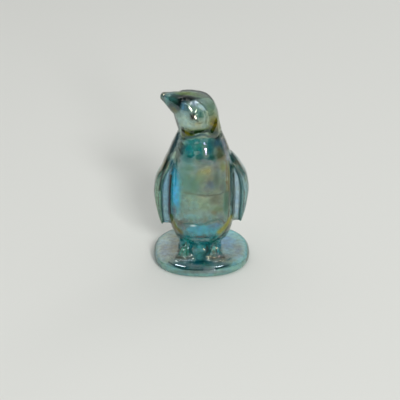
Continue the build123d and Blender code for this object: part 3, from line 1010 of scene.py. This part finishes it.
def film_and_painted_light(points, normals):
    """Colour of the film at every point, with painted highlights, painted reflections and painted shade
    among its patches and lines.

    It starts as one clear colour. Each region then covers what is there by soft steps, and
    each patch and line by a bell curve over its half sizes times how much it faces the view.
    """
    x, y, z = points.T
    facing = soft_step(*FILM_FACING, normals @ np.array([0.0, -np.cos(VIEW_SLANT), np.sin(VIEW_SLANT)]))
    slanted = slanted_height(points)
    colour = np.tile(np.array(CLEAR + (CLEAR_HAZE,)) / 100, (len(points), 1))

    def cover(share, tint, haze):
        colour[:] += share[:, None] * (np.array(tint + (haze,)) / 100 - colour)

    from_edge = np.abs(x) - blade_inner_edge(z)
    on_side = soft_step(*BLADE_FOOT, z) * soft_step(*BLADE_TOP, z)
    blade = on_side * soft_step(*BLADE_SKIN, from_edge)
    web = on_side * soft_step(*WEB_SKIN, from_edge) * soft_step(*WEB_START, np.abs(x))
    on_left = soft_step(*LEFT_HALF, x)
    cover(blade * (1 - on_left), *RIGHT_BLADE_FILM)
    cover(blade * on_left, *LEFT_BLADE_FILM)
    cover(web * on_left, *LEFT_WEB_FILM)
    cover(web * (1 - on_left), *RIGHT_WEB_FILM)
    cover(BLADE_EDGE_SHARE * on_side * groove(from_edge, BLADE_EDGE_WIDTH) * facing, *BLADE_EDGE_FILM)

    pad_skin = soft_step(*PAD_SKIN, z)
    cover(pad_skin, *PAD_FILM)
    cover(pad_skin * soft_step(*PAD_LEFT, x), *PAD_LEFT_FILM)
    cover(pad_skin * soft_step(*PAD_FRONT, y) * soft_step(*PAD_MIDDLE, np.abs(x)), *PAD_FRONT_FILM)
    cover(pad_skin * soft_step(*PAD_BAND, z), *PAD_BAND_FILM)
    legs = soft_step(*LEG_FILM_FOOT, z) * soft_step(*LEG_FILM_TOP, z)
    cover(legs, *LEG_FILM)
    # Painted highlight along the tops of the toes
    cover(TOE_HIGHLIGHT_SHARE * toe_crests(points) * legs, *TOE_CREST_HIGHLIGHT)

    for seed, tint in BACK_TINTS:
        cloud = soft_step(*BACK_CLOUD, waves(points, *BACK_WAVES, seed))
        cover(BACK_SHARE * (1 - facing) * cloud, tint, BACK_HAZE)

    for across, height, wide, tall, tilt, tint, strength, haze in FRONT_FILM_AND_PAINTED_LIGHT:
        lean = np.radians(tilt)
        right, up = x - across, slanted - height
        u = (right * np.cos(lean) + up * np.sin(lean)) / wide
        v = (up * np.cos(lean) - right * np.sin(lean)) / tall
        cover(strength / 100 * facing * soft_spot(np.hypot(u, v) ** PATCH_POWER), tint, haze)
    for path, half_width, tint, strength, haze in FILM_AND_PAINTED_LIGHT_LINES:
        away = distance_to_path(x, slanted, path)
        cover(strength / 100 * facing * soft_spot((away / half_width) ** PATCH_POWER), tint, haze)
    colour = np.clip(colour, 0.0, 1.0)
    colour[:, :3] **= SCREEN_POWER
    return colour


def film_depth(points):
    """Depth of the film in nanometres: slow waves all over, and patches covered by bell curves."""
    x, y, z = points.T
    slanted = slanted_height(points)
    depth = FILM_DEPTH + FILM_DEPTH_SWING * np.clip(waves(points, *FILM_DEPTH_WAVES) / 1.5, -1.0, 1.0)
    for across, height, wide, tall, own in FILM_DEPTHS:
        near = soft_spot(np.hypot((x - across) / wide, (slanted - height) / tall) ** PATCH_POWER)
        depth += soft_step(*FILM_DEPTH_FRONT, y) * near * (own - depth)
    return depth


# Dull places: how rough, where the low band's top fades, and the rubbed place above it
GLASS_ROUGHNESS = 0.02
RUBBED_ROUGHNESS = 0.42
DULL_FRONT = (-14.0, -18.0)
DULL_BAND_TOP = (4.4, 3.9)
RUBBED_ACROSS = 3.9
RUBBED_HALF_WIDTH = 3.4
RUBBED_TOP = (6.6, 5.6)


def dullness(points):
    """Roughness: next to none, and more on the pad's low front band and a rubbed place above it."""
    x, y, z = points.T
    rubbed = soft_spot(((x - RUBBED_ACROSS) / RUBBED_HALF_WIDTH) ** 2) * soft_step(*RUBBED_TOP, z)
    dull = soft_step(*DULL_FRONT, y) * np.maximum(soft_step(*DULL_BAND_TOP, z), rubbed)
    return GLASS_ROUGHNESS + (RUBBED_ROUGHNESS - GLASS_ROUGHNESS) * dull


def add_glass():
    """The whole ornament as one skin, with its film, which also carries painted highlights and shade, and
    its dull places as attributes.
    """
    mesh = melt("glass_penguin", glass_surfaces())
    points, normals = press(mesh)
    film = mesh.attributes.new("film", "FLOAT_COLOR", "POINT")
    film.data.foreach_set("color", film_and_painted_light(points, normals).ravel())
    for name, value in (("film_depth", film_depth), ("dullness", dullness)):
        mesh.attributes.new(name, "FLOAT", "POINT").data.foreach_set("value", value(points))
    mesh.shade_smooth()
    glass = add_object("glass_penguin", mesh)
    mesh.materials.append(glass_material())
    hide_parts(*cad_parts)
    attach(glass, "root")


# Materials
ABSORPTION = (0.06, 0.48, 0.46, 1.0)
DENSITY = 50.0
GLASS_IOR = 1.52
FILM_IOR = 1.72
# What is left of a lamp's light behind the glass
SHADE_COLOUR = (0.10, 0.13, 0.13, 1.0)
# Clouds: how many to a metre, detail and roughness. The film's colour is mottled in
# brightness by one, drifts between two tints by another, and a third ripples the surface.
MOTTLE_CLOUD = (420.0, 5.0, 0.65)
MOTTLE_SPREAD = (0.3, 0.7, 0.53, 1.02)
DRIFT_CLOUD = (380.0, 3.0, 0.5)
DRIFT_SPREAD = (0.35, 0.65, 0.0, 1.0)
WARM_DRIFT = (1.08, 1.01, 0.88, 1.0)
COOL_DRIFT = (0.92, 0.99, 1.10, 1.0)
RIPPLE_CLOUD = (700.0, 2.0, 0.5)
RIPPLE_STRENGTH = 0.2
RIPPLE_HEIGHT = 0.06 * MM


def add_node(tree, kind, sockets=(), **settings):
    """Outputs of a new node. Each of its sockets takes another node's output, or a plain value."""
    node = tree.nodes.new("ShaderNode" + kind)
    for name, setting in settings.items():
        setattr(node, name, setting)
    for name, value in dict(sockets).items():
        if isinstance(value, bpy.types.NodeSocket):
            tree.links.new(value, node.inputs[name])
        else:
            node.inputs[name].default_value = value
    return node.outputs


def spread(tree, value, low, high, to_low, to_high, **settings):
    """A value between low and high, moved to between to_low and to_high."""
    sockets = {"Value": value, "From Min": low, "From Max": high, "To Min": to_low, "To Max": to_high}
    return add_node(tree, "MapRange", sockets, **settings)["Result"]


def glass_material():
    """Coloured glass with a thin film whose thickness and colour drift over the surface."""
    material = bpy.data.materials.new("iridescent_glass")
    material.use_nodes = True
    tree = material.node_tree
    tree.nodes.clear()
    place = add_node(tree, "TexCoord")["Object"]

    def cloud(scale, detail, roughness):
        sockets = {"Vector": place, "Scale": scale, "Detail": detail, "Roughness": roughness}
        return add_node(tree, "TexNoise", sockets)["Fac"]

    names = ("film", "film_depth", "dullness")
    film, thickness, dull = (add_node(tree, "Attribute", attribute_name=name) for name in names)
    brightness = spread(tree, cloud(*MOTTLE_CLOUD), *MOTTLE_SPREAD)
    mottle = add_node(tree, "VectorMath", {0: film["Color"], "Scale": brightness}, operation="SCALE")
    share = spread(tree, cloud(*DRIFT_CLOUD), *DRIFT_SPREAD)
    drift = add_node(tree, "Mix", {0: share, 6: WARM_DRIFT, 7: COOL_DRIFT}, data_type="RGBA")
    tint = add_node(tree, "VectorMath", {0: mottle["Vector"], 1: drift[2]}, operation="MULTIPLY")
    ripple = add_node(tree, "Bump", {
        "Strength": RIPPLE_STRENGTH,
        "Distance": RIPPLE_HEIGHT,
        "Height": cloud(*RIPPLE_CLOUD),
    })
    shader = add_node(tree, "BsdfPrincipled", {
        "Base Color": tint["Vector"],
        "Roughness": dull["Fac"],
        "IOR": GLASS_IOR,
        "Transmission Weight": spread(tree, film["Alpha"], 0.0, 1.0, 1.0, 0.0),
        "Thin Film Thickness": thickness["Fac"],
        "Thin Film IOR": FILM_IOR,
        "Normal": ripple["Normal"],
    })
    # Lamps shine through the glass onto what it stands on
    glass_or_lamp = add_node(tree, "MixShader", {
        "Fac": add_node(tree, "LightPath")["Is Shadow Ray"],
        1: shader["BSDF"],
        2: add_node(tree, "BsdfTransparent", {"Color": SHADE_COLOUR})["BSDF"],
    })
    depth = add_node(tree, "VolumeAbsorption", {"Color": ABSORPTION, "Density": DENSITY})
    ends = {"Surface": glass_or_lamp["Shader"], "Volume": depth["Volume"]}
    add_node(tree, "OutputMaterial", ends)
    return material


# Floor and lights
FLOOR_HALF = 3.0
FLOOR_COLOUR = (0.69, 0.70, 0.67, 1.0)
FLOOR_ROUGHNESS = 0.9


def add_floor():
    """A wide pale table top."""
    corners = [(FLOOR_HALF * x, FLOOR_HALF * y, 0) for x, y in ((-1, -1), (1, -1), (1, 1), (-1, 1))]
    mesh = bpy.data.meshes.new("floor")
    mesh.from_pydata(corners, [], [(0, 1, 2, 3)])
    floor = add_object("floor", mesh)
    material = bpy.data.materials.new("pale_table")
    material.use_nodes = True
    shader = material.node_tree.nodes["Principled BSDF"]
    shader.inputs["Base Color"].default_value = FLOOR_COLOUR
    shader.inputs["Roughness"].default_value = FLOOR_ROUGHNESS
    mesh.materials.append(material)


# Lamps: place, size, power in watts, and what they give: all light, or only gloss or only shade
LAMPS = {
    "front_window": ((0.69, -2.40, 0.64), (0.36, 0.36), 16.0, "all"),
    "room_lamp": ((0.88, -2.72, 1.69), (0.80, 0.55), 63.0, "shade"),
    "back_lamp": ((0.75, 0.95, 0.75), (0.50, 0.30), 1.3, "shade"),
    "left_window": ((-1.05, -0.79, 1.55), (0.82, 0.32), 19.5, "gloss"),
    "right_window": ((0.79, -1.04, 1.60), (0.72, 0.32), 17.0, "gloss"),
}
LAMP_AIM = np.array([0.0, 0.0, 40 * MM])


def add_lamp(name, place, size, power, gives):
    """A soft rectangular lamp at its place, turned to the middle of the ornament."""
    data = bpy.data.lights.new(name, "AREA")
    data.shape = "RECTANGLE"
    data.size, data.size_y = size
    data.energy = power
    lamp = add_object(name, data)
    away = np.array(place) - LAMP_AIM
    away /= np.linalg.norm(away)
    lamp.location = place
    lamp.rotation_euler = (np.arccos(away[2]), 0.0, np.arctan2(away[0], -away[1]))
    lamp.visible_diffuse = gives != "gloss"
    lamp.visible_glossy = gives != "shade"
    lamp.visible_transmission = False


# The room gets brighter with height plus a share of how far behind it is: from and to which
# height, and how bright there
ROOM_LEAN = 0.35
ROOM_SPREAD = (0.2, 0.95, 0.08, 0.90)
ROOM_COLOUR = (1.0, 1.0, 0.99, 1.0)


def add_room():
    """The room: a smooth rise from dark low in front to bright overhead and behind."""
    world = bpy.data.worlds.new("room")
    bpy.context.scene.world = world
    world.use_nodes = True
    tree = world.node_tree
    place = add_node(tree, "TexCoord")["Generated"]
    rise = add_node(tree, "VectorMath", {0: place, 1: (0.0, ROOM_LEAN, 1.0)}, operation="DOT_PRODUCT")
    light = spread(tree, rise["Value"], *ROOM_SPREAD, interpolation_type="SMOOTHSTEP")
    sky = tree.nodes["Background"]
    tree.links.new(light, sky.inputs["Strength"])
    sky.inputs["Color"].default_value = ROOM_COLOUR


bpy.context.scene.view_settings.view_transform = "Standard"
add_camera()
add_glass()
add_floor()
add_room()
for name, lamp in LAMPS.items():
    add_lamp(name, *lamp)
